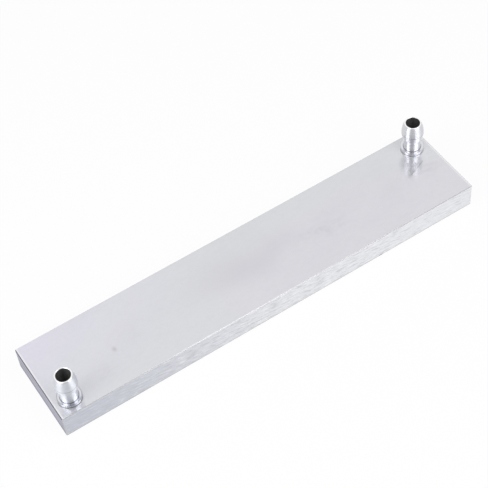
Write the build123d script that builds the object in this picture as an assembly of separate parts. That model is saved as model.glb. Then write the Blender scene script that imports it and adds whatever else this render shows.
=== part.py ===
"""Liquid cooling cold plate: one length of aluminium profile with ribbed coolant passes inside.

Two plugs close the profile's ends, and two turned hose nozzles stand in its top face. Coolant enters at one
corner, runs along every pass in turn and leaves at the corner where the last pass ends.

Millimetres. The origin is the middle of the underside, +X runs along the profile, +Y towards its back edge
and +Z out of the face with the nozzles.
"""

import os

from build123d import *

# Outside of the block
block_length = 200.0
block_width = 40.0
block_height = 12.0
edge_break = 0.25

# Section of the profile: walls, webs between the passes, and the ribs on each pass's floor and ceiling
skin = 2.0
side_wall = 2.0
web = 1.5
pass_count = 3
pass_corner = 0.4
ribs_across = 3
rib_height = 1.2
rib_width = 1.0

# Ends: the plugs are brazed in, and between plug and web the coolant turns into the next pass
plug_thickness = 3.0
braze_gap = 0.05
turn_length = 11.0

# Hose nozzle: walls are measured from the bore, the lip's from the mouth, and heights from the block's face
bore_radius = 2.7
mouth_flare = 0.3
mouth_depth = 3.0
spigot_wall = 1.3
flange_seat = 1.05
flange_thickness = 1.4
neck_wall = 1.05
neck_length = 5.2
barb_height = 1.03
head_back_length = 3.9
head_nose_length = 5.5
lip_wall = 0.7

# Edges of the nozzle
flange_chamfer = 0.2
lip_fillet = 0.3
mouth_chamfer = 0.2
spigot_chamfer = 0.2

# Port: how far its hole stays off the plug
port_margin = 0.45

# Worked out from the sizes above
cavity_width = block_width - 2 * side_wall
cavity_height = block_height - 2 * skin
pass_width = (cavity_width - (pass_count - 1) * web) / pass_count
pass_pitch = pass_width + web
plug_face = block_length / 2 - plug_thickness
spigot_radius = bore_radius + spigot_wall
port_radius = spigot_radius + braze_gap
port_x = plug_face - port_margin - port_radius
middle_height = block_height / 2


def pass_centre(index):
    """Place across the block of a pass's centre line, counted from the front edge."""
    return (index - (pass_count - 1) / 2) * pass_pitch


def leaving_end(index):
    """End where a pass hands the coolant on: +1 is the right end. The first pass runs left to right."""
    return 1 if index % 2 == 0 else -1


def along_x(section, start, length):
    """Solid of a section, drawn as seen along +X, that starts at a place on X."""
    return extrude(Plane.YZ.offset(start) * section, amount=length)


def opening_section(centre, width):
    """Section of one clear hollow between floor and ceiling."""
    return Pos(centre, middle_height) * RectangleRounded(width, cavity_height, pass_corner)


def ribbed_pass(index):
    """Section of one pass, with as many ribs on its ceiling as on its floor."""
    rib_pitch = pass_width / (ribs_across + 1)
    front = pass_centre(index) - pass_width / 2
    section = opening_section(pass_centre(index), pass_width)
    for step in range(ribs_across):
        y = front + (step + 1) * rib_pitch
        section -= Pos(y, skin + rib_height / 2) * Rectangle(rib_width, rib_height)
        section -= Pos(y, block_height - skin - rib_height / 2) * Rectangle(rib_width, rib_height)
    return section


def hollow_section(end):
    """Section of the coolant's way near one end (-1, +1), or between the ends (0).

    Where a pass hands on, the web behind it and the ribs on both sides are milled away for the turn.
    """
    section = Sketch()
    turned = 0
    for index in range(pass_count):
        if index < pass_count - 1 and leaving_end(index) == end:
            centre = (pass_centre(index) + pass_centre(index + 1)) / 2
            section += opening_section(centre, 2 * pass_width + web)
            turned = index + 2
        elif index >= turned:
            section += ribbed_pass(index)
    return section


def port_place(index, end):
    """Place on the top face of the port over a pass, near the left (-1) or right (+1) end."""
    return Pos(end * port_x, pass_centre(index), block_height)


def make_extruded_body(port_places):
    """The profile, its broken edges, plug seats, turning chambers and port holes."""
    block = Pos(0, 0, middle_height) * Box(block_length, block_width, block_height)
    block = chamfer(block.edges(), edge_break)
    seat = opening_section(0, cavity_width)
    block -= along_x(seat, -block_length / 2, plug_thickness)
    block -= along_x(hollow_section(-1), -plug_face, turn_length)
    block -= along_x(hollow_section(0), turn_length - plug_face, 2 * (plug_face - turn_length))
    block -= along_x(hollow_section(1), plug_face - turn_length, turn_length)
    block -= along_x(seat, plug_face, plug_thickness)
    drilled = block_height - middle_height
    for place in port_places:
        block -= place * Pos(0, 0, -drilled / 2) * Cylinder(port_radius, drilled)
    return block


def make_end_plug(start):
    """Plate that fills the seat with a braze gap all round and ends flush with the block."""
    width = cavity_width - 2 * braze_gap
    height = cavity_height - 2 * braze_gap
    section = Pos(0, middle_height) * RectangleRounded(width, height, pass_corner - braze_gap)
    return along_x(section, start, plug_thickness)


def corner_at(section, radius, height):
    """The section's corner nearest to a point."""
    return section.vertices().sort_by_distance((radius, height))[0]


def make_hose_nozzle():
    """Turned nozzle with its flange seated at height 0 and its spigot filling the port's wall below.

    The head swells from the neck to its widest ring and narrows to the lip on two arcs, both upright at
    the ring, so a hose slides on easily and can't slip back off. The bore widens a little to its mouth.
    """
    flange_radius = port_radius + flange_seat
    neck_radius = bore_radius + neck_wall
    mouth_radius = bore_radius + mouth_flare
    lip_radius = mouth_radius + lip_wall
    neck_top = flange_thickness + neck_length
    ring_height = neck_top + head_back_length
    tip_height = ring_height + head_nose_length
    ring = (neck_radius + barb_height, ring_height)
    stem = Polyline(
        (mouth_radius, tip_height),
        (bore_radius, tip_height - mouth_depth),
        (bore_radius, -skin),
        (spigot_radius, -skin),
        (spigot_radius, 0),
        (flange_radius, 0),
        (flange_radius, flange_thickness),
        (neck_radius, flange_thickness),
        (neck_radius, neck_top),
    )
    head_back = TangentArc(ring, (neck_radius, neck_top), tangent=(0, -1))
    head_nose = TangentArc(ring, (lip_radius, tip_height), tangent=(0, 1))
    lip = Line((lip_radius, tip_height), (mouth_radius, tip_height))
    section = make_face(stem + head_back + head_nose + lip)
    section = fillet(corner_at(section, lip_radius, tip_height), lip_fillet)
    section = chamfer(corner_at(section, mouth_radius, tip_height), mouth_chamfer)
    section = chamfer(corner_at(section, flange_radius, flange_thickness), flange_chamfer)
    section = chamfer(corner_at(section, spigot_radius, -skin), spigot_chamfer)
    return revolve(Plane.XZ * section, Axis.Z)


inlet_place = port_place(0, -1)
outlet_place = port_place(pass_count - 1, leaving_end(pass_count - 1))
nozzle = make_hose_nozzle()

pieces = {
    "extruded_body": make_extruded_body([inlet_place, outlet_place]),
    "left_end_plug": make_end_plug(-block_length / 2),
    "right_end_plug": make_end_plug(plug_face),
    "inlet_nozzle": inlet_place * nozzle,
    "outlet_nozzle": outlet_place * nozzle,
}

os.makedirs("parts", exist_ok=True)
for name, piece in pieces.items():
    piece.label = name
    export_step(piece, f"parts/{name}.step")
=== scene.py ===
"""Aluminium cold plate with two hose nozzles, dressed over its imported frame."""

import math

import bpy
import numpy as np
from mathutils import Matrix, Vector


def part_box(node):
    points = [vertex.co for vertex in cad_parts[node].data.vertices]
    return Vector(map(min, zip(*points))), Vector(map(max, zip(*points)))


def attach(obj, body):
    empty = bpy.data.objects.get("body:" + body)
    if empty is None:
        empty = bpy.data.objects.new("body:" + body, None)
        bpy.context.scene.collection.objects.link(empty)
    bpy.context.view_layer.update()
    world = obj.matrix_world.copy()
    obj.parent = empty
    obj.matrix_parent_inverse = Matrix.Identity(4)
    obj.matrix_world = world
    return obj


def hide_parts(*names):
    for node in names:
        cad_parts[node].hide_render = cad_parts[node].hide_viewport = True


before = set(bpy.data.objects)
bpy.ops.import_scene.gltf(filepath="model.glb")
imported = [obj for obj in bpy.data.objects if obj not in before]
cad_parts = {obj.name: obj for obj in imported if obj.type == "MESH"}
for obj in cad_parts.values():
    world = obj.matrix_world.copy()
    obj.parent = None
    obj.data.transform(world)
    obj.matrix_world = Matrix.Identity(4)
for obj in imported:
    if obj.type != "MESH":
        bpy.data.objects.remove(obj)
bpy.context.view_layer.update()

# Extruded block: one length of aluminium profile, sawn off and skimmed.
# The two broad faces are milled to a satin, the long sides are brushed along the profile, and the ends
# are ground flush with their plugs. Its sharp edges are broken and shine a little.
millimetre = 0.001

satin_green = (0.694, 0.704, 0.730)
satin_lavender = (0.722, 0.712, 0.795)
satin_pink = (0.703, 0.696, 0.735)
satin_dull = (0.592, 0.584, 0.627)
speck_colour = (0.560, 0.555, 0.580)
scratch_colour = (0.300, 0.300, 0.320)
brushed_right = (0.708, 0.712, 0.738)
brushed_left_shade = (0.560, 0.575, 0.642)
brushed_shade = (0.480, 0.490, 0.510)
brushed_bright = (0.860, 0.865, 0.890)
lower_edge_shade = (0.420, 0.425, 0.420)
ground_colour = (0.510, 0.510, 0.590)
ground_shade = (0.285, 0.285, 0.345)
dark_edge_colour = (0.145, 0.145, 0.175)
long_edge = (0.37, 0.37, 0.38)
left_edge = (0.50, 0.50, 0.52)
short_edge_highlight = (0.86, 0.86, 0.89)

# Patches on the top face, in millimetres: the centre along X and Y, then the reach along X and Y.
# The lavender, pink and dull patches are partly the metal's own tints and partly painted reflections of the
# studio.
lavender_reflection_patch = ((-104, 24), (92, 52))
pink_reflection_patch = ((46, -14), (100, 38))
dull_reflection_patch = ((-3, 1), (44, 16))
inlet_stain = ((-76, -11), (9, 7))
outlet_stain = ((91, -1), (9, 5))
middle_stain = ((36, -3), (20, 7))
speck_patch = ((-67.0, -3.2), (1.5, 2.0))
scratch_patch = ((87.2, 1.7), (7, 5))

# The scratch is a short piece of a wide circle's arc.
scratch_middle = (64.8 * millimetre, 57.4 * millimetre, 12.0 * millimetre)
scratch_radius = 60.0 * millimetre
scratch_core = 0.10 * millimetre
scratch_reach = 0.45 * millimetre
scratch_share = 0.4
nick_place = 52.0 * millimetre
nick_core = 0.3 * millimetre
nick_reach = 1.2 * millimetre

# Grains of the patterns per metre along X, Y and Z.
cloud_grain = (45.0, 70.0, 45.0)
mottle_grain = (260.0, 520.0, 260.0)
milled_grain = (900.0, 2600.0, 900.0)
brushed_grain = (180.0, 1100.0, 1100.0)
brush_tilt = math.radians(-8.0)
wheel_grain = (1100.0, 60.0, 1100.0)
band_grain = (3.0, 40.0, 40.0)
wander_per_metre = 30.0
wander_reach = 0.022

# Bands that the grinding wheel leaves up the end: a sine of the height, in radians, with a random drift.
band_turns = 1428.0
band_start = -3.5
band_drift = 3.0
line_share = 0.60

# Ramps and shares of the patterns. A ramp is two levels of its pattern, and the shares or roughnesses there.
pink_fade = (0.10, 0.50)
dull_share = 0.55
inlet_stain_share = 0.6
stain_fade = (0.40, 0.62, 0.15, 0.55)
scratch_fade = (0.0, 0.3)
cloud_fade = (0.45, 0.85, 0.0, 0.22)
mottle_fade = (0.42, 0.70, 0.0, 0.12)
milled_fade = (0.30, 0.90, 0.0, 0.25)
bright_lines = (0.32, 0.47, 0.9, 0.0)
dark_lines = (0.47, 0.66, 0.0, 0.9)
wheel_lines = (0.30, 0.70)
satin_roughness = (0.30, 0.70, 0.15, 0.21)
brushed_roughness = (0.30, 0.70, 0.34, 0.46)
ground_roughness = 0.42
edge_roughness = 0.18

# Ramps along X, Y or Z, in metres: two places, and the shares there.
top_only = (0.004, 0.008)
front_only = (-0.008, 0.0, 1.0, 0.0)
side_shade_ramp = (-0.105, 0.015)
calm_left = (-0.100, -0.040, 0.5, 1.0)
calm_right = (0.040, 0.080, 1.0, 0.7)
lower_shade_fade = (0.0002, 0.0010, 0.75, 0.0)
nick_fade = (0.0004, 0.0012, 0.8, 0.0)
rim_highlight_fade = (0.0989, 0.0995, 0.0, 0.8)
edge_tint = (-0.090, 0.0)
top_band_fade = (0.0104, 0.0113)
foot_shade = (0.0003, 0.0060, 1.0, 0.0)

# Ramps of how squarely a face looks along an axis, from 0 to 1.
square_on = (0.80, 0.95)
broken_edge = (0.76, 0.92, 1.0, 0.0)
facing_long_side = (0.30, 0.60)

block_metalness = 0.65
grain_stretch = 0.9
grain_turn = 0.25
milled_relief = 0.25
relief_depth = 0.004 * millimetre


def add_node(tree, kind, inputs=(), **settings):
    """A shader node whose inputs are pairs of a socket and a value or another node's output."""
    made = tree.nodes.new("ShaderNode" + kind)
    for name, value in settings.items():
        setattr(made, name, value)
    for socket, value in inputs:
        if isinstance(value, bpy.types.NodeSocket):
            tree.links.new(value, made.inputs[socket])
        else:
            made.inputs[socket].default_value = value
    return made


def calculate(tree, operation, first, second=0.0):
    """One arithmetic step on two numbers."""
    return add_node(tree, "Math", [(0, first), (1, second)], operation=operation).outputs[0]


def vector_step(tree, operation, first, second, output=0):
    """One step on two vectors; the output is a vector, or the number named Value."""
    made = add_node(tree, "VectorMath", [(0, first), (1, second)], operation=operation)
    return made.outputs[output]


def ramp(tree, value, low, high, start=0.0, end=1.0):
    """A value taken smoothly from start, at low, to end, at high."""
    steps = [("Value", value), ("From Min", low), ("From Max", high), ("To Min", start), ("To Max", end)]
    return add_node(tree, "MapRange", steps, interpolation_type="SMOOTHSTEP").outputs["Result"]


def near(tree, value, centre, core, reach, share=1.0):
    """A share within a core on each side of a centre, falling smoothly to nothing at a reach."""
    off_centre = calculate(tree, "ABSOLUTE", calculate(tree, "SUBTRACT", value, centre))
    return ramp(tree, off_centre, core, reach, share, 0.0)


def blend_colour(tree, share, first, second):
    """The first colour, with a share of the second."""
    mixer = add_node(tree, "Mix", [("Factor", share)], data_type="RGBA")
    for socket, colour in ((mixer.inputs[6], first), (mixer.inputs[7], second)):
        if isinstance(colour, bpy.types.NodeSocket):
            tree.links.new(colour, socket)
        else:
            socket.default_value = (*colour, 1.0)
    return mixer.outputs[2]


def blend_number(tree, share, first, second):
    """The first number, with a share of the second."""
    return add_node(tree, "Mix", [("Factor", share), (2, first), (3, second)]).outputs[0]


def grain(tree, place, per_metre, detail=2.0, sharpness=0.5):
    """Noise from 0 to 1 whose grain is given per metre along X, Y and Z."""
    stretched = add_node(tree, "Mapping", [("Vector", place), ("Scale", per_metre)])
    settings = [("Scale", 1.0), ("Detail", detail), ("Roughness", sharpness)]
    return add_node(tree, "TexNoise", [("Vector", stretched.outputs[0]), *settings]).outputs["Fac"]


def new_metal(name):
    """A bare metal material, and the places and face directions that its patterns follow."""
    material = bpy.data.materials.new(name)
    material.use_nodes = True
    tree = material.node_tree
    shader = tree.nodes["Principled BSDF"]
    shader.inputs["Metallic"].default_value = 1.0
    where = add_node(tree, "TexCoord")
    normal = add_node(tree, "SeparateXYZ", [(0, where.outputs["Normal"])]).outputs
    facing = [calculate(tree, "ABSOLUTE", axis) for axis in normal]
    return material, tree, shader, where.outputs["Object"], facing


def finish_metal(tree, shader, colour, roughness, relief, depth):
    """Joins the patterns to the shader; depth is the height of a full step of the relief, in metres."""
    tree.links.new(colour, shader.inputs["Base Color"])
    tree.links.new(roughness, shader.inputs["Roughness"])
    bump = add_node(tree, "Bump", [("Height", relief), ("Distance", depth), ("Strength", 1.0)])
    tree.links.new(bump.outputs[0], shader.inputs["Normal"])


def soft_patch(tree, place, patch):
    """One at a patch's centre, falling smoothly to nothing at its reach along X and Y."""
    centre, reach = patch
    scale = (1 / (reach[0] * millimetre), 1 / (reach[1] * millimetre), 0.0)
    offset = (-centre[0] / reach[0], -centre[1] / reach[1], 0.0)
    moved = add_node(tree, "Mapping", [("Vector", place), ("Location", offset), ("Scale", scale)])
    distance = add_node(tree, "VectorMath", [(0, moved.outputs[0])], operation="LENGTH").outputs["Value"]
    return ramp(tree, distance, 0.0, 1.0, 1.0, 0.0)


def wandering(tree, place):
    """The place moved a little at random, so that the patches on it have no even outline."""
    noise = add_node(tree, "TexNoise", [("Vector", place), ("Scale", wander_per_metre), ("Detail", 2.0)])
    centred = vector_step(tree, "SUBTRACT", noise.outputs["Color"], (0.5, 0.5, 0.5))
    shift = add_node(tree, "VectorMath", [(0, centred), ("Scale", wander_reach)], operation="SCALE")
    return vector_step(tree, "ADD", place, shift.outputs[0])


def stains(tree, place, wavering, mottle):
    """Share of the mottled stains by the two nozzles and in the middle."""
    by_inlet = calculate(tree, "MULTIPLY", soft_patch(tree, place, inlet_stain), inlet_stain_share)
    by_nozzles = calculate(tree, "MAXIMUM", by_inlet, soft_patch(tree, place, outlet_stain))
    anywhere = calculate(tree, "MAXIMUM", by_nozzles, soft_patch(tree, wavering, middle_stain))
    return calculate(tree, "MULTIPLY", anywhere, ramp(tree, mottle, *stain_fade))


def scratch(tree, place):
    """Share of the scratch: a thin line where the distance from its circle's middle is the radius."""
    from_middle = vector_step(tree, "DISTANCE", place, scratch_middle, output="Value")
    line = near(tree, from_middle, scratch_radius, scratch_core, scratch_reach, scratch_share)
    kept = ramp(tree, soft_patch(tree, place, scratch_patch), *scratch_fade)
    return calculate(tree, "MULTIPLY", line, kept)


def satin_face(tree, place, axes, clouds, milled):
    """Colour of the broad faces: plain satin below, and above with its drifting tints, which are partly
    painted reflections, its marks and a painted highlight along its ends.
    """
    wavering = wandering(tree, place)
    mottle = grain(tree, place, mottle_grain, detail=4.0, sharpness=0.65)
    pink = ramp(tree, soft_patch(tree, wavering, pink_reflection_patch), *pink_fade)
    dull = calculate(tree, "MULTIPLY", soft_patch(tree, wavering, dull_reflection_patch), dull_share)
    colour = blend_colour(tree, pink, satin_green, satin_pink)
    colour = blend_colour(tree, soft_patch(tree, wavering, lavender_reflection_patch), colour, satin_lavender)
    colour = blend_colour(tree, dull, colour, satin_dull)
    for pattern, fade in ((clouds, cloud_fade), (mottle, mottle_fade), (milled, milled_fade)):
        colour = blend_colour(tree, ramp(tree, pattern, *fade), colour, satin_dull)
    colour = blend_colour(tree, stains(tree, place, wavering, mottle), colour, satin_dull)
    colour = blend_colour(tree, soft_patch(tree, place, speck_patch), colour, speck_colour)
    colour = blend_colour(tree, scratch(tree, place), colour, scratch_colour)
    underside = blend_colour(tree, ramp(tree, clouds, *cloud_fade), satin_green, satin_dull)
    colour = blend_colour(tree, ramp(tree, axes[2], *top_only), underside, colour)
    # Painted highlight: a pale line along the top face at each end, where the edge catches the light.
    rim = ramp(tree, calculate(tree, "ABSOLUTE", axes[0]), *rim_highlight_fade)
    return blend_colour(tree, rim, colour, short_edge_highlight)


def brushed_side(tree, axes, lines):
    """Colour of the long sides: a painted shade towards the left end, bright and dark brushed lines, calmer
    at the ends, a painted shade along the lower edge, and the front's nick.
    """
    # Painted shade: the side turns darker and bluer towards the left end.
    colour = blend_colour(tree, ramp(tree, axes[0], *side_shade_ramp), brushed_left_shade, brushed_right)
    calm = calculate(tree, "MULTIPLY", ramp(tree, axes[0], *calm_left), ramp(tree, axes[0], *calm_right))
    for fade, line_colour in ((bright_lines, brushed_bright), (dark_lines, brushed_shade)):
        share = calculate(tree, "MULTIPLY", ramp(tree, lines, *fade), calm)
        colour = blend_colour(tree, share, colour, line_colour)
    # Painted shade along the foot of the side.
    colour = blend_colour(tree, ramp(tree, axes[2], *lower_shade_fade), colour, lower_edge_shade)
    across = near(tree, axes[0], nick_place, nick_core, nick_reach)
    nick = calculate(tree, "MULTIPLY", across, ramp(tree, axes[2], *nick_fade))
    nick = calculate(tree, "MULTIPLY", nick, ramp(tree, axes[1], *front_only))
    return blend_colour(tree, nick, colour, dark_edge_colour)


def ground_end(tree, place):
    """Colour and relief of an end off the grinding wheel: fine lines, broad bands, a dark band under the top
    edge and a painted shade towards the foot.
    """
    lines = grain(tree, place, wheel_grain, detail=3.0, sharpness=0.7)
    drifting = calculate(tree, "MULTIPLY", grain(tree, place, band_grain, detail=2.0), band_drift)
    height = add_node(tree, "SeparateXYZ", [(0, place)]).outputs[2]
    phase = calculate(tree, "ADD", calculate(tree, "MULTIPLY", height, band_turns), band_start)
    bands = calculate(tree, "SINE", calculate(tree, "ADD", phase, drifting))
    share = blend_number(tree, line_share, ramp(tree, bands, -1.0, 1.0), ramp(tree, lines, *wheel_lines))
    colour = blend_colour(tree, share, ground_colour, ground_shade)
    # A dark band under the end's top edge.
    colour = blend_colour(tree, ramp(tree, height, *top_band_fade), colour, dark_edge_colour)
    # Painted shade: the end turns darker towards its foot.
    return blend_colour(tree, ramp(tree, height, *foot_shade), colour, ground_shade), lines


def edge_colour(tree, axes, facing):
    """Colour of the broken edges: pale along the block, dark across its ends."""
    along = blend_colour(tree, ramp(tree, axes[0], *edge_tint), left_edge, long_edge)
    return blend_colour(tree, ramp(tree, facing[1], *facing_long_side), dark_edge_colour, along)


block_metal, tree, shader, place, facing = new_metal("block_metal")
axes = add_node(tree, "SeparateXYZ", [(0, place)]).outputs
clouds = grain(tree, place, cloud_grain, detail=3.0)
milled = grain(tree, place, milled_grain, detail=3.0)
tilted = add_node(tree, "Mapping", [("Vector", place), ("Rotation", (0.0, brush_tilt, 0.0))]).outputs[0]
brush_lines = grain(tree, tilted, brushed_grain, detail=4.0, sharpness=0.75)
ground, grind_lines = ground_end(tree, place)
on_side = ramp(tree, facing[1], *square_on)
on_end = ramp(tree, facing[0], *square_on)
squarest = calculate(tree, "MAXIMUM", facing[0], calculate(tree, "MAXIMUM", facing[1], facing[2]))
on_edge = ramp(tree, squarest, *broken_edge)

satin = satin_face(tree, place, axes, clouds, milled)
colour = blend_colour(tree, on_side, satin, brushed_side(tree, axes, brush_lines))
colour = blend_colour(tree, on_end, colour, ground)
colour = blend_colour(tree, on_edge, colour, edge_colour(tree, axes, facing))
roughness = ramp(tree, clouds, *satin_roughness)
roughness = blend_number(tree, on_side, roughness, ramp(tree, brush_lines, *brushed_roughness))
roughness = blend_number(tree, on_end, roughness, ground_roughness)
roughness = blend_number(tree, on_edge, roughness, edge_roughness)
relief = blend_number(tree, on_side, calculate(tree, "MULTIPLY", milled, milled_relief), brush_lines)
relief = blend_number(tree, on_end, relief, grind_lines)
across_grain = calculate(tree, "MULTIPLY", calculate(tree, "MAXIMUM", on_side, on_end), grain_stretch)
shader.inputs["Metallic"].default_value = block_metalness
tree.links.new(across_grain, shader.inputs["Anisotropic"])
shader.inputs["Anisotropic Rotation"].default_value = grain_turn
finish_metal(tree, shader, colour, roughness, relief, relief_depth)
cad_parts["extruded_body"].data.materials[0] = block_metal

# End plugs: flat aluminium plates brazed into the profile's open ends and ground flush with it.
# Each is its own piece of plate, so the wheel leaves it a shade duller than the profile around it.
plug_roughness = (0.30, 0.70, 0.38, 0.48)

plug_metal, tree, shader, place, facing = new_metal("plug_metal")
colour, grind_lines = ground_end(tree, place)
roughness = ramp(tree, grind_lines, *plug_roughness)
shader.inputs["Anisotropic"].default_value = grain_stretch
shader.inputs["Anisotropic Rotation"].default_value = grain_turn
finish_metal(tree, shader, colour, roughness, grind_lines, relief_depth)
for plug in ("left_end_plug", "right_end_plug"):
    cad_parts[plug].data.materials[0] = plug_metal

# Hose nozzles: turned from aluminium bar and left bright, each a flange, a neck and a barrel head.
# The spigot under the flange is brazed into the block's port. The bore is black with flux from brazing.
block_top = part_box("extruded_body")[1].z
nozzle_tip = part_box("inlet_nozzle")[1].z
spigot_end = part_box("inlet_nozzle")[0].z
flange_radius = (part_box("inlet_nozzle")[1].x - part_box("inlet_nozzle")[0].x) / 2
bore_radius = 2.7 * millimetre
mouth_radius = 3.0 * millimetre
mouth_depth = 3.0 * millimetre
spigot_radius = 4.0 * millimetre
flange_top = block_top + 1.4 * millimetre
flange_round = 0.2 * millimetre
neck_radius = 3.75 * millimetre
neck_top = block_top + 6.6 * millimetre
neck_fillet = 0.15 * millimetre
ring_radius = 4.78 * millimetre
ring_height = block_top + 10.5 * millimetre
lip_radius = 3.7 * millimetre
lip_round = 0.3 * millimetre
lip_start_degrees = 8.0
around_steps = 256
sharpest_smooth = math.radians(35.0)


def arc(centre, radius, start, end, steps):
    """Points of a circular arc, from one angle in degrees to another."""
    angle = np.radians(np.linspace(start, end, steps))
    return np.column_stack([centre[0] + radius * np.cos(angle), centre[1] + radius * np.sin(angle)])


def head_arc(end_radius, end_height, steps):
    """Arc that leaves the widest ring upright and ends at a radius and height; points are (radius, height).

    Its radius is (rise squared + fall squared) / (2 fall), from the ring to the end.
    """
    rise, fall = end_height - ring_height, ring_radius - end_radius
    bend = (rise**2 + fall**2) / (2 * fall)
    sweep = math.degrees(math.asin(rise / bend))
    return arc((ring_radius - bend, ring_height), bend, 0.0, sweep, steps)


def straight(start, end, steps):
    """Evenly spaced points of a straight run."""
    return np.linspace(start, end, steps)


back_of_head = head_arc(neck_radius, neck_top, 40)[::-1]
nose_of_head = head_arc(lip_radius, nozzle_tip - lip_round, 48)
profile = np.vstack([
    straight((bore_radius, spigot_end), (spigot_radius, spigot_end), 4),
    straight((spigot_radius, spigot_end), (spigot_radius, block_top), 6)[1:],
    straight((spigot_radius, block_top), (flange_radius, block_top), 4)[1:],
    straight((flange_radius, block_top), (flange_radius, flange_top - flange_round), 6)[1:],
    arc((flange_radius - flange_round, flange_top - flange_round), flange_round, 0.0, 90.0, 8)[1:],
    straight((flange_radius - flange_round, flange_top), (neck_radius + neck_fillet, flange_top), 8)[1:],
    arc((neck_radius + neck_fillet, flange_top + neck_fillet), neck_fillet, 270.0, 180.0, 8)[1:],
    straight((neck_radius, flange_top + neck_fillet), (neck_radius, neck_top), 20)[1:],
    back_of_head[1:],
    nose_of_head[1:],
    arc((lip_radius - lip_round, nozzle_tip - lip_round), lip_round, lip_start_degrees, 90.0, 9),
    arc((mouth_radius + lip_round, nozzle_tip - lip_round), lip_round, 90.0, 180.0, 9),
    straight((mouth_radius, nozzle_tip - lip_round), (bore_radius, nozzle_tip - mouth_depth), 12)[1:],
    straight((bore_radius, nozzle_tip - mouth_depth), (bore_radius, spigot_end), 30)[1:-1],
])


def turned_surface(name, outline, centre):
    """Surface of revolution: every outline point (radius, height) goes once round the axis through centre."""
    angle = np.linspace(0.0, 2 * np.pi, around_steps, endpoint=False)
    radius, height = outline[:, 0, None], outline[:, 1, None]
    points = np.stack(np.broadcast_arrays(
        centre.x + radius * np.cos(angle), centre.y + radius * np.sin(angle), height), axis=-1)
    rows, columns = np.meshgrid(np.arange(len(outline)), np.arange(around_steps), indexing="ij")
    next_row, next_column = (rows + 1) % len(outline), (columns + 1) % around_steps
    corners = [rows * around_steps + columns, rows * around_steps + next_column,
               next_row * around_steps + next_column, next_row * around_steps + columns]
    faces = np.stack(corners, axis=-1).reshape(-1, 4)
    mesh = bpy.data.meshes.new(name)
    mesh.from_pydata(points.reshape(-1, 3), [], faces)
    mesh.shade_smooth()
    mesh.set_sharp_from_angle(angle=sharpest_smooth)
    turned = bpy.data.objects.new(name, mesh)
    bpy.context.scene.collection.objects.link(turned)
    return turned


turned_colour = (0.775, 0.778, 0.812)
turned_blue = (0.725, 0.745, 0.805)
turned_shade = (0.665, 0.670, 0.712)
lip_colour = (0.93, 0.93, 0.935)
flange_colour = (0.58, 0.59, 0.63)
corner_shade_and_mark_colour = (0.18, 0.18, 0.20)
seam_shade_colour = (0.08, 0.08, 0.10)
flux_colour = (0.024, 0.024, 0.023)
flux_deep = (0.120, 0.120, 0.116)
inlet_darkening = 0.9
outlet_darkening = 0.3

# Grains per metre out from the axis and up, then ramps of a pattern as on the block.
ring_grain = (9000.0, 1.0, 9000.0)
smear_grain = (260.0, 260.0, 420.0)
ring_fade = (0.35, 0.70)
smear_roughness = (0.35, 0.70, 0.33, 0.38)
level_roughness = 0.14
flux_roughness = 0.9
level_face = (0.75, 0.95)
ring_depth = 0.001 * millimetre

# Ramps on the nozzle, in metres: two places, or a line's core and reach, and the shares there.
bore_edge = (mouth_radius + 0.04 * millimetre, mouth_radius + 0.12 * millimetre, 1.0, 0.0)
lip_edge = (nozzle_tip - 0.20 * millimetre, nozzle_tip - 0.08 * millimetre)
neck_corner = (neck_radius + 0.10 * millimetre, neck_radius + 0.36 * millimetre, 1.0, 0.0)
foot_line = (0.05 * millimetre, 0.26 * millimetre)
flange_edge = (flange_top - 0.10 * millimetre, flange_top + 0.02 * millimetre)
rim_height = flange_top - flange_round / 2
rim_line = (0.05 * millimetre, 0.20 * millimetre)
rim_share = 0.6
beyond_neck = (4.6 * millimetre, 4.9 * millimetre)
flux_shallow = (nozzle_tip - 8.0 * millimetre, nozzle_tip - 1.0 * millimetre, 1.0, 0.0)
tool_line = (0.05 * millimetre, 0.28 * millimetre, 0.5)
seam_height = 0.10 * millimetre
seam_reach = 0.25 * millimetre
seam_shade_share = 0.5
extra_seam_height = 0.15 * millimetre
extra_seam_shade_share = 0.5


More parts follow.
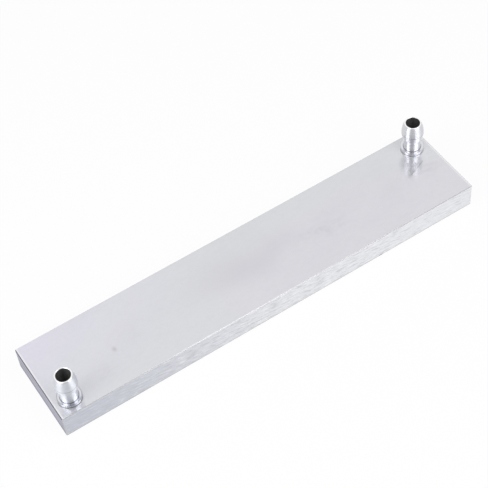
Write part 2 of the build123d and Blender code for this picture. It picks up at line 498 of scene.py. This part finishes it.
def turned_metal(name, centre, bright, flange_darkening):
    """Bright metal with the tool's fine rings, and a black bore about the nozzle's own axis.

    The last argument, from 0 to 1, is how far the flange is darkened, with a dark line round its rim, and how
    much broader and darker the seam's painted shade is.
    """
    material, tree, shader, place, facing = new_metal(name)
    centred = add_node(tree, "Mapping", [("Vector", place), ("Location", (-centre.x, -centre.y, 0.0))])
    axes = add_node(tree, "SeparateXYZ", [(0, centred.outputs[0])]).outputs
    flat = add_node(tree, "CombineXYZ", [(0, axes[0]), (1, axes[1])]).outputs[0]
    from_axis = add_node(tree, "VectorMath", [(0, flat)], operation="LENGTH").outputs["Value"]
    ring_place = add_node(tree, "CombineXYZ", [(0, from_axis), (2, axes[2])]).outputs[0]
    rings = grain(tree, ring_place, ring_grain, detail=3.0)
    smears = grain(tree, place, smear_grain, detail=2.0)
    in_bore = ramp(tree, from_axis, *bore_edge)
    # Foot: a painted shade in the corner where the neck rises from the flange.
    foot = near(tree, axes[2], flange_top, *foot_line)
    foot = calculate(tree, "MULTIPLY", foot, ramp(tree, from_axis, *neck_corner))
    rim = near(tree, axes[2], rim_height, *rim_line, rim_share * flange_darkening)
    rim = calculate(tree, "MULTIPLY", rim, ramp(tree, from_axis, *beyond_neck))
    ring_mark = near(tree, axes[2], ring_height, *tool_line)
    # Seam: a painted contact shade round the flange's foot, where it stands on the block.
    seam_edge = block_top + seam_height + extra_seam_height * flange_darkening
    darkness = seam_shade_share + extra_seam_shade_share * flange_darkening
    seam = ramp(tree, axes[2], seam_edge, seam_edge + seam_reach, darkness, 0.0)
    flux = blend_colour(tree, ramp(tree, axes[2], *flux_shallow), flux_colour, flux_deep)

    colour = blend_colour(tree, ramp(tree, rings, *ring_fade), bright, turned_shade)
    colour = blend_colour(tree, ramp(tree, axes[2], *flange_edge, flange_darkening, 0.0), colour, flange_colour)
    colour = blend_colour(tree, calculate(tree, "MAXIMUM", foot, ring_mark), colour, corner_shade_and_mark_colour)
    colour = blend_colour(tree, rim, colour, corner_shade_and_mark_colour)
    colour = blend_colour(tree, seam, colour, seam_shade_colour)
    colour = blend_colour(tree, ramp(tree, axes[2], *lip_edge), colour, lip_colour)
    colour = blend_colour(tree, in_bore, colour, flux)
    level = ramp(tree, facing[2], *level_face)
    roughness = blend_number(tree, level, ramp(tree, smears, *smear_roughness), level_roughness)
    roughness = blend_number(tree, in_bore, roughness, flux_roughness)
    tree.links.new(calculate(tree, "SUBTRACT", 1.0, in_bore), shader.inputs["Metallic"])
    tree.links.new(calculate(tree, "SUBTRACT", 1.0, level), shader.inputs["Anisotropic"])
    shader.inputs["Anisotropic Rotation"].default_value = grain_turn
    finish_metal(tree, shader, colour, roughness, rings, ring_depth)
    return material


nozzle_looks = {
    "inlet_nozzle": (turned_blue, inlet_darkening),
    "outlet_nozzle": (turned_colour, outlet_darkening),
}
for node_name, (bright, flange_darkening) in nozzle_looks.items():
    low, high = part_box(node_name)
    centre = (low + high) / 2
    turned = turned_surface("turned_" + node_name, profile, centre)
    turned.data.materials.append(turned_metal(node_name + "_metal", centre, bright, flange_darkening))
    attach(turned, "root")
    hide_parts(node_name)

# Floor: a white studio table, the backdrop for the whole view, a hair below the block's underside.
# The camera and the metal see it nearly as bright as the page it runs into, and it keeps a faint shadow.
floor_half = 4.0
floor_level = -0.02 * millimetre
floor_colour = (0.86, 0.86, 0.86)
page_colour = (1.0, 1.0, 1.0)
page_share = 0.94
one_face = [(0, 1, 2, 3)]


def page_seen(tree):
    """One for the rays that show the white page: those of the camera and those in metal or glass."""
    ray = add_node(tree, "LightPath").outputs
    mirrored = calculate(tree, "MAXIMUM", ray["Is Glossy Ray"], ray["Is Transmission Ray"])
    return calculate(tree, "MAXIMUM", ray["Is Camera Ray"], mirrored)


def mix_shaders(tree, share, first, second):
    """The first shader, with a share of the second."""
    mixed = add_node(tree, "MixShader", [(0, share)])
    tree.links.new(first.outputs[0], mixed.inputs[1])
    tree.links.new(second.outputs[0], mixed.inputs[2])
    return mixed.outputs[0]


def studio_sheet(name, points, faces, paint_name):
    """A sheet of the studio, which isn't part of the object, and the node tree of its own paint."""
    mesh = bpy.data.meshes.new(name)
    mesh.from_pydata(points, [], faces)
    sheet = bpy.data.objects.new(name, mesh)
    bpy.context.scene.collection.objects.link(sheet)
    paint = bpy.data.materials.new(paint_name)
    paint.use_nodes = True
    mesh.materials.append(paint)
    return sheet, paint.node_tree


floor_corners = [(-floor_half, -floor_half, floor_level), (floor_half, -floor_half, floor_level),
                 (floor_half, floor_half, floor_level), (-floor_half, floor_half, floor_level)]
_, tree = studio_sheet("studio_floor", floor_corners, one_face, "floor_paint")
matt = add_node(tree, "BsdfDiffuse", [("Color", (*floor_colour, 1.0))])
page = add_node(tree, "Emission", [("Color", (*page_colour, 1.0)), ("Strength", 1.0)])
page_part = calculate(tree, "MULTIPLY", page_seen(tree), page_share)
tree.links.new(mix_shaders(tree, page_part, matt, page), tree.nodes["Material Output"].inputs["Surface"])

# Studio light: a pale room with a soft box on each side of the camera.
# A grey card between the boxes, which only the metal sees, parts their reflections into two stripes. A low
# white screen, which again only the metal sees, keeps the boxes' feet out of the top when seen from behind.
room_colour = (0.43, 0.43, 0.435)
card_colour = (0.15, 0.155, 0.185)
card_place = (-0.16, -0.335, 0.48)
card_corners = [(-0.29, -0.20, 0), (0.225, -0.20, 0), (0.225, 0.24, 0), (-0.29, 0.24, 0)]
screen_radius = 0.40
screen_height = 0.22
screen_bearings = (-205.0, -5.0)
screen_steps = 24

world = bpy.data.worlds.new("studio_room")
bpy.context.scene.world = world
world.use_nodes = True
tree = world.node_tree
room = tree.nodes["Background"]
room.inputs["Color"].default_value = (*room_colour, 1.0)
page = add_node(tree, "Background", [("Color", (*page_colour, 1.0)), ("Strength", 1.0)])
tree.links.new(mix_shaders(tree, page_seen(tree), room, page), tree.nodes["World Output"].inputs["Surface"])


def facing_block(made, place):
    """Stands an object at a place with its front towards the block's middle."""
    place = Vector(place)
    made.matrix_world = Matrix.Translation(place) @ place.to_track_quat("Z", "Y").to_matrix().to_4x4()


def soft_box(name, place, width, height, radiance):
    """Rectangular lamp of a given brightness, where 1 is a white sheet in full light."""
    lamp = bpy.data.lights.new(name, "AREA")
    lamp.shape = "RECTANGLE"
    lamp.size = width
    lamp.size_y = height
    lamp.energy = radiance * width * height * math.pi
    box = bpy.data.objects.new(name, lamp)
    box.visible_camera = False
    bpy.context.scene.collection.objects.link(box)
    facing_block(box, place)


def sheet_for_metal(name, points, faces, colour):
    """Plain glowing sheet that shows in the metal's reflections alone."""
    sheet, tree = studio_sheet(name, points, faces, name + "_paint")
    sheet.visible_camera = False
    sheet.visible_diffuse = False
    sheet.visible_shadow = False
    glow = add_node(tree, "Emission", [("Color", (*colour, 1.0)), ("Strength", 1.0)])
    tree.links.new(glow.outputs[0], tree.nodes["Material Output"].inputs["Surface"])
    return sheet


soft_box("right_soft_box", place=(0.217, -0.373, 0.38), width=0.38, height=0.62, radiance=2.6)
soft_box("left_soft_box", place=(-0.405, -0.040, 0.32), width=0.27, height=0.54, radiance=3.0)
facing_block(sheet_for_metal("grey_card", card_corners, one_face, card_colour), card_place)

# The screen is a strip of a cylinder's wall: its foot goes round the block's front and ends at one radius,
# and its top edge is the same arc raised by the screen's height.
bearing = np.radians(np.linspace(*screen_bearings, screen_steps))
screen_foot = screen_radius * np.column_stack([np.cos(bearing), np.sin(bearing), np.zeros(screen_steps)])
screen_points = np.vstack([screen_foot, screen_foot + (0.0, 0.0, screen_height)])
step = np.arange(screen_steps - 1)
screen_faces = np.column_stack([step, step + 1, step + 1 + screen_steps, step + screen_steps])
sheet_for_metal("white_screen", screen_points, screen_faces, page_colour)

# Camera: above the block's left end, looking down along it with the far nozzle at the upper right.
# It is turned a little clockwise, as a camera held in the hand is.
camera_place = Vector((-0.1713, -0.3170, 0.4896))
camera_aim = Vector((0.0039, 0.0109, 0.0120))
camera_roll = math.radians(-6.13)
lens_length = 106.74
sensor_width = 36.0

lens = bpy.data.cameras.new("studio_camera")
lens.lens = lens_length
lens.sensor_width = sensor_width
camera = bpy.data.objects.new("studio_camera", lens)
bpy.context.scene.collection.objects.link(camera)
turn = (camera_aim - camera_place).to_track_quat("-Z", "Y").to_matrix().to_4x4()
camera.matrix_world = Matrix.Translation(camera_place) @ turn @ Matrix.Rotation(camera_roll, 4, "Z")
bpy.context.scene.camera = camera
bpy.context.scene.view_settings.view_transform = "Standard"
